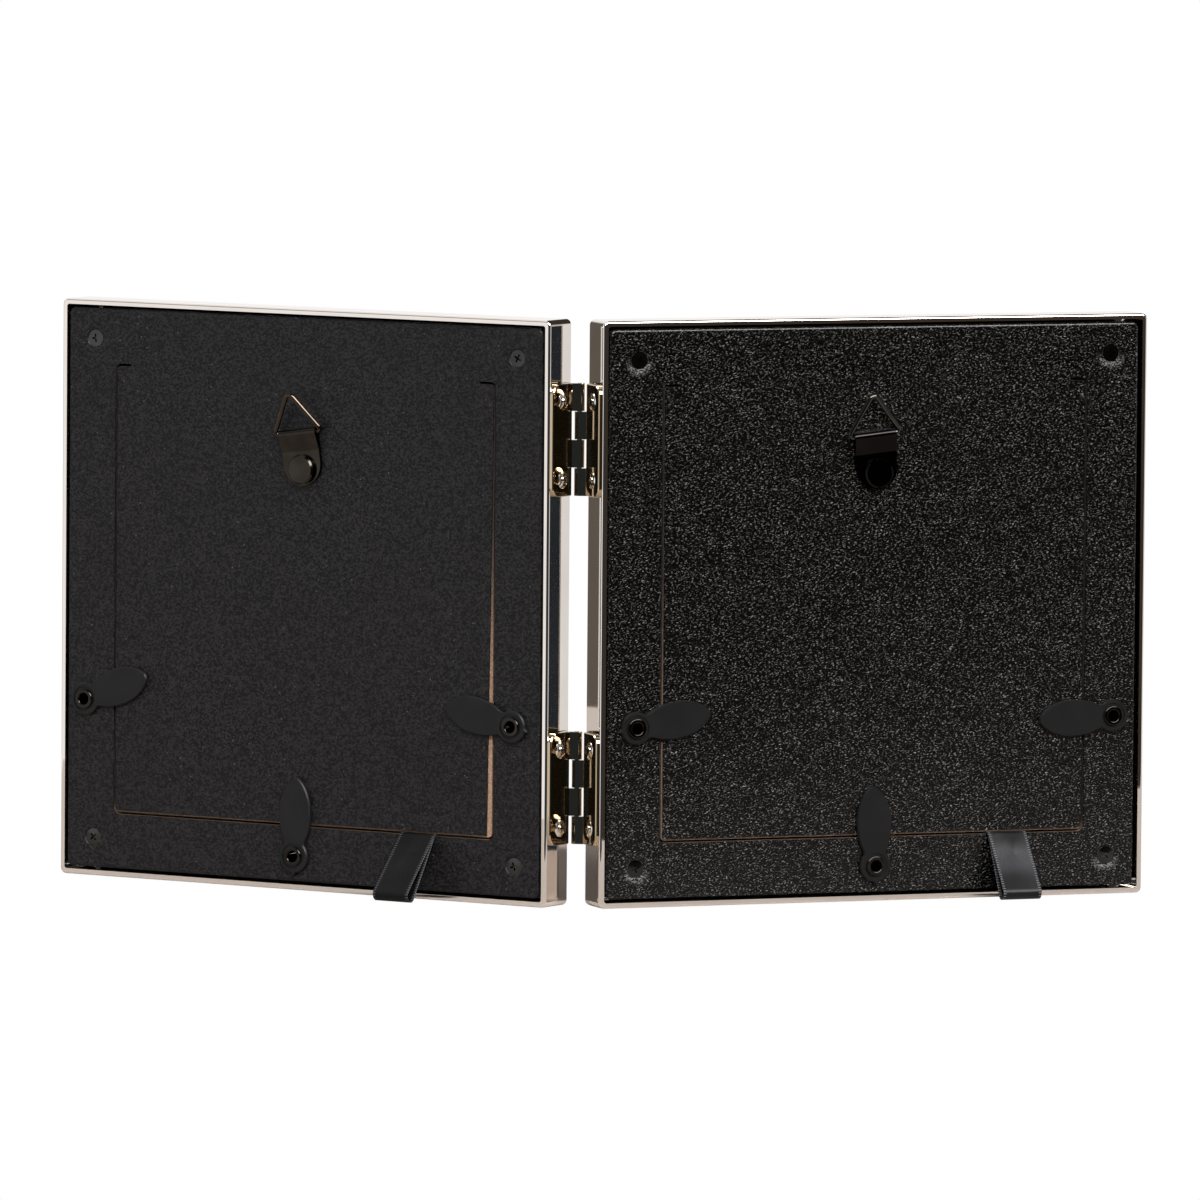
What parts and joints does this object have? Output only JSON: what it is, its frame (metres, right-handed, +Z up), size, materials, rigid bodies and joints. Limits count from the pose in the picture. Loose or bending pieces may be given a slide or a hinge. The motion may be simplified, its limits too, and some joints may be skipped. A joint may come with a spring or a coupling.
{
  "type": "hinged double photo frame",
  "caption": "Folding photo frame that stands like an open book: square metal-rimmed leaves with leatherette backs, turn buttons, ribbon pulls, hanging rings and side hinges.",
  "frame": {"origin": "middle of the standing pair's box, on the surface that it stands on", "axes": "+X to the right of someone behind the pair, +Y from the backs towards the fronts, +Z up"},
  "size_m": [0.3342, 0.0906, 0.178],
  "materials": {
    "nickel_plate": "polished nickel plate",
    "window_glass": "clear",
    "blank_card": "smooth matt card",
    "grey_board": "grey board",
    "fibreboard": "raw fibreboard",
    "left_leatherette": "black fine-grained leatherette",
    "right_leatherette": "black coarse-grained leatherette",
    "black_screw": "black oxide",
    "left_ribbon": "black satin ribbon",
    "right_ribbon": "black satin ribbon",
    "left_hanger_metal": "dark bronzed steel",
    "right_hanger_metal": "dark bronzed steel",
    "button_plastic": "matt black",
    "eyelet_black": "gloss black",
    "hinge_nickel": "polished nickel plate",
    "hinge_screw": "polished nickel plate",
    "pin_steel": "drawn steel"
  },
  "bodies": {
    "left_leaf": {"left_frame": "nickel_plate", "left_glass": "window_glass", "left_photo_card": "blank_card", "left_backing_pad": "grey_board", "left_back_board": "fibreboard", "left_door_board": "fibreboard", "left_back_cover": "left_leatherette", "left_corner_screws": "black_screw", "left_ribbon_pull": "left_ribbon", "left_hanger_rivet": "left_hanger_metal", "left_button_eyelets": "eyelet_black", "upper_hinge_left_plate": "hinge_nickel", "upper_hinge_left_screws": "hinge_screw", "upper_hinge_pin": "pin_steel", "lower_hinge_left_plate": "hinge_nickel", "lower_hinge_left_screws": "hinge_screw", "lower_hinge_pin": "pin_steel"},
    "right_leaf": {"right_frame": "nickel_plate", "right_glass": "window_glass", "right_photo_card": "blank_card", "right_backing_pad": "grey_board", "right_back_board": "fibreboard", "right_door_board": "fibreboard", "right_back_cover": "right_leatherette", "right_corner_screws": "black_screw", "right_ribbon_pull": "right_ribbon", "right_hanger_rivet": "right_hanger_metal", "right_button_eyelets": "eyelet_black", "upper_hinge_right_plate": "hinge_nickel", "upper_hinge_right_screws": "hinge_screw", "lower_hinge_right_plate": "hinge_nickel", "lower_hinge_right_screws": "hinge_screw"},
    "left_outer_button": {"left_outer_button": "button_plastic"},
    "left_inner_button": {"left_inner_button": "button_plastic"},
    "left_bottom_button": {"left_bottom_button": "button_plastic"},
    "left_hanger_strap": {"left_hanger_strap": "left_hanger_metal"},
    "left_hanger_ring": {"left_hanger_ring": "left_hanger_metal"},
    "right_outer_button": {"right_outer_button": "button_plastic"},
    "right_inner_button": {"right_inner_button": "button_plastic"},
    "right_bottom_button": {"right_bottom_button": "button_plastic"},
    "right_hanger_strap": {"right_hanger_strap": "right_hanger_metal"},
    "right_hanger_ring": {"right_hanger_ring": "right_hanger_metal"}
  },
  "joints": [
    {"name": "leaf_fold", "type": "hinge", "parent": "left_leaf", "child": "right_leaf", "pos_m": [0, -0.03441, 0.089], "axis": [0, 0, 1], "range_deg": [-58, 126.9]},
    {"name": "left_outer_button_turn", "type": "hinge", "parent": "left_leaf", "child": "left_outer_button", "pos_m": [-0.15887, 0.03038, 0.0546], "axis": [-0.447, -0.8945, 0], "range_deg": [-116, 77]},
    {"name": "left_inner_button_turn", "type": "hinge", "parent": "left_leaf", "child": "left_inner_button", "pos_m": [-0.01918, -0.03941, 0.0544], "axis": [-0.447, -0.8945, 0], "range_deg": [-97, 121]},
    {"name": "left_bottom_button_turn", "type": "hinge", "parent": "left_leaf", "child": "left_bottom_button", "pos_m": [-0.08952, -0.00427, 0.01038], "axis": [-0.447, -0.8945, 0], "range_deg": [-99, 102]},
    {"name": "left_strap_swivel", "type": "hinge", "parent": "left_leaf", "child": "left_hanger_strap", "pos_m": [-0.08721, -0.00525, 0.1291], "axis": [-0.447, -0.8945, 0], "continuous": true},
    {"name": "left_ring_swing", "type": "hinge", "parent": "left_hanger_strap", "child": "left_hanger_ring", "pos_m": [-0.08913, -0.0058, 0.1401], "axis": [0.8867, -0.4431, 0.1323], "range_deg": [-17, 126]},
    {"name": "right_outer_button_turn", "type": "hinge", "parent": "right_leaf", "child": "right_outer_button", "pos_m": [0.15788, 0.02989, 0.0548], "axis": [0.447, -0.8945, 0], "range_deg": [-103, 99]},
    {"name": "right_inner_button_turn", "type": "hinge", "parent": "right_leaf", "child": "right_inner_button", "pos_m": [0.01838, -0.03982, 0.0546], "axis": [0.447, -0.8945, 0], "range_deg": [-115, 95]},
    {"name": "right_bottom_button_turn", "type": "hinge", "parent": "right_leaf", "child": "right_bottom_button", "pos_m": [0.08826, -0.0049, 0.01077], "axis": [0.447, -0.8945, 0], "range_deg": [-104, 100]},
    {"name": "right_strap_swivel", "type": "hinge", "parent": "right_leaf", "child": "right_hanger_strap", "pos_m": [0.08775, -0.00498, 0.1307], "axis": [0.447, -0.8945, 0], "continuous": true},
    {"name": "right_ring_swing", "type": "hinge", "parent": "right_hanger_strap", "child": "right_hanger_ring", "pos_m": [0.08727, -0.00673, 0.14224], "axis": [0.8896, 0.4445, 0.1045], "range_deg": [-12, 132]}
  ]
}
